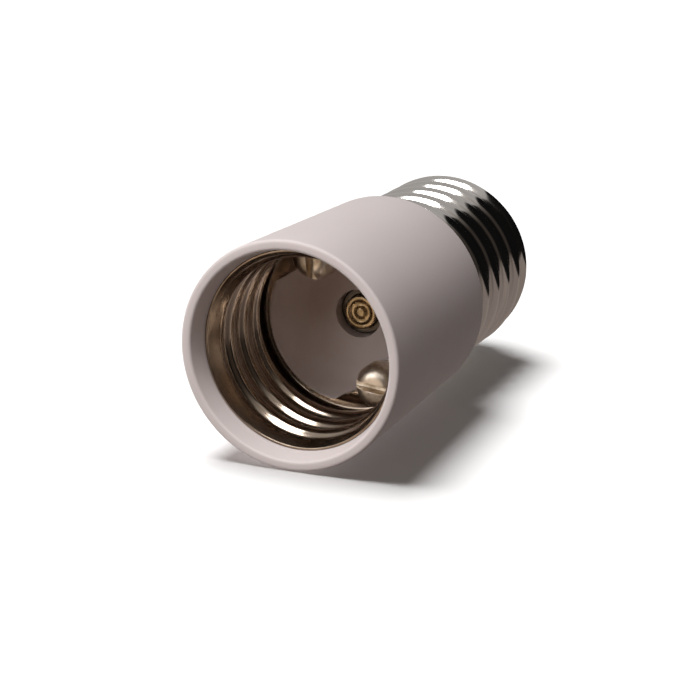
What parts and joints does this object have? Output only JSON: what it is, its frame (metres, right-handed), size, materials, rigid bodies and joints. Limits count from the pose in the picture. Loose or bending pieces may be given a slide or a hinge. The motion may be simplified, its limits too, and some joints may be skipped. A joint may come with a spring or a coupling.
{
  "type": "lamp socket adapter",
  "caption": "Tubular moulded adapter with a large screw lamp socket in its mouth, a spring centre contact and a matching screw cap at its back",
  "frame": {"origin": "centre of the mouth rim, on the surface that the part stands on", "axes": "+Z runs along the socket's axis from the mouth rim to the end contact; the two shell screws lie on the X axis, the lower one of the picture at +X"},
  "size_m": [0.047, 0.047, 0.0923],
  "materials": {
    "moulded_body": "satin off-white moulding",
    "plated_shell": "bright nickel plate on rolled sheet",
    "plated_screw": "bright nickel plate",
    "bare_brass": "turned brass",
    "spring_steel": "drawn wire",
    "black_glass": "fused black insulating glass",
    "tinned_contact": "tinned brass button"
  },
  "bodies": {
    "body": {"housing": "moulded_body", "socket_shell": "plated_shell", "cap_shell": "plated_shell", "shell_screw_lower": "plated_screw", "shell_screw_upper": "plated_screw", "shell_nut_lower": "bare_brass", "shell_nut_upper": "bare_brass", "link_strip": "bare_brass", "contact_sleeve": "plated_screw", "sleeve_nut": "bare_brass", "contact_spring": "spring_steel", "centre_rod": "bare_brass", "end_insulator": "black_glass", "end_contact": "tinned_contact"},
    "plunger": {"contact_plunger": "bare_brass"}
  },
  "joints": [
    {"name": "contact_press", "type": "slide", "parent": "body", "child": "plunger", "axis": [0, 0, 1], "range_m": [0, 0.0025], "stiffness_N_per_m": 800, "springref_m": -0.003, "deforming": ["contact_spring"]}
  ]
}
